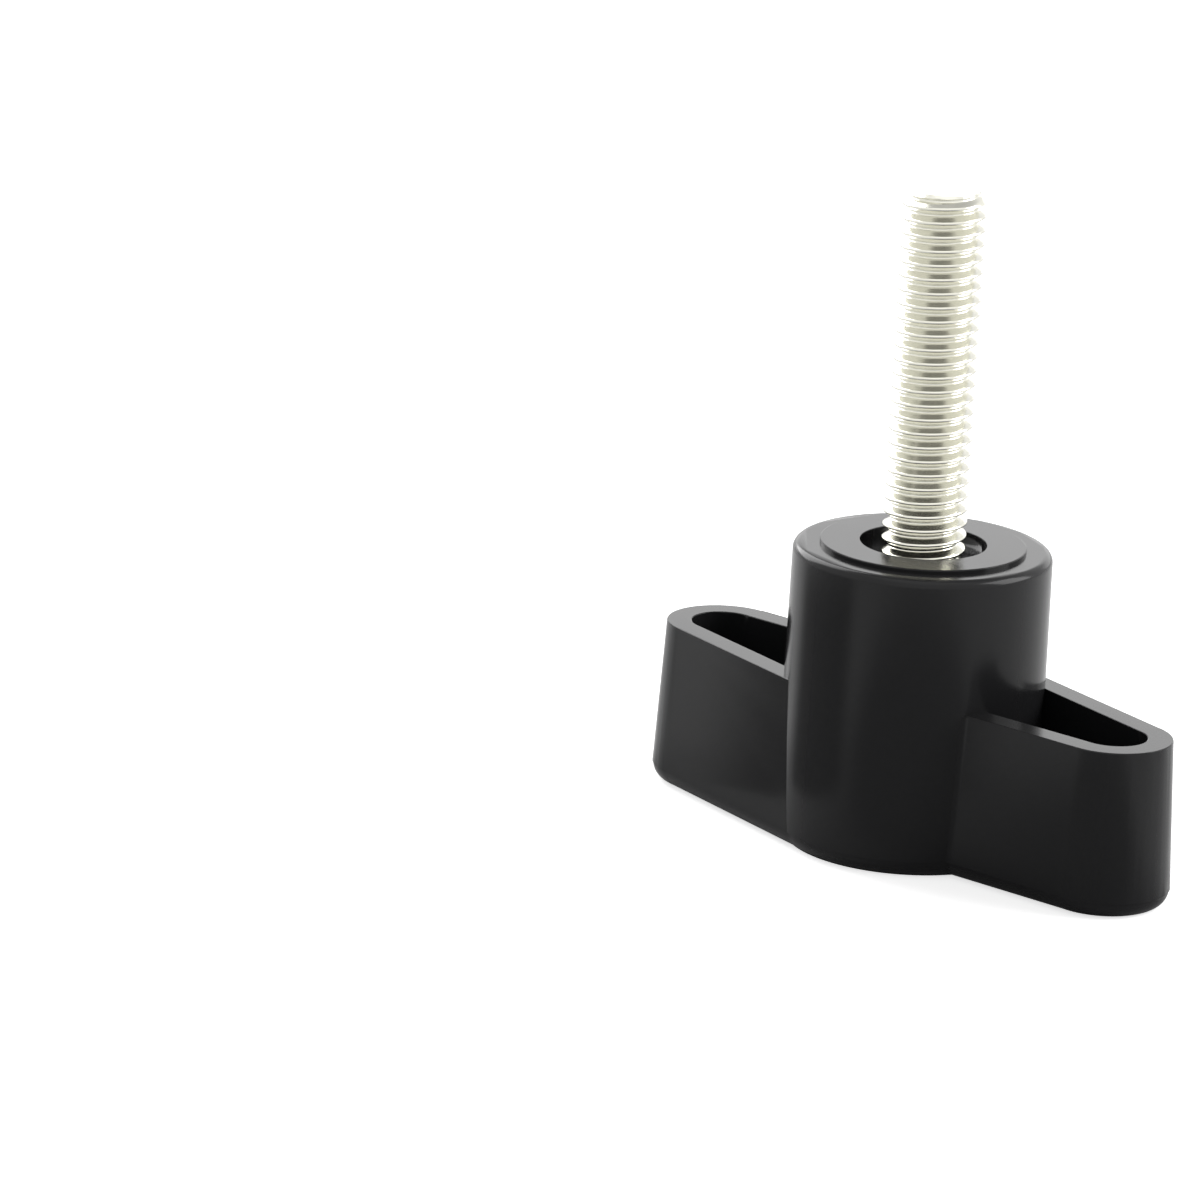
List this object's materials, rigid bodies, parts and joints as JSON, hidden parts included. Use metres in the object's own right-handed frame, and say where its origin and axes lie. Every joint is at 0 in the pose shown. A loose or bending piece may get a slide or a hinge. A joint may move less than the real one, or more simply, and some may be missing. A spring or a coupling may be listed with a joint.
{
  "type": "thumb screw",
  "caption": "Thumb screw with an S-shaped moulded wing knob, a raised bearing disc and a metric threaded stud.",
  "frame": {"origin": "on the stud's axis, in the plane of the flat head face that the screw stands on", "axes": "+Z along the stud, from the head to its free end; X along the line through both wing tips"},
  "size_m": [0.0448, 0.0186, 0.0471],
  "materials": {
    "black_plastic": "satin moulded black",
    "zinc_plated_steel": "bright zinc plating"
  },
  "bodies": {
    "root": {"knob": "black_plastic", "stud": "zinc_plated_steel"}
  },
  "joints": []
}
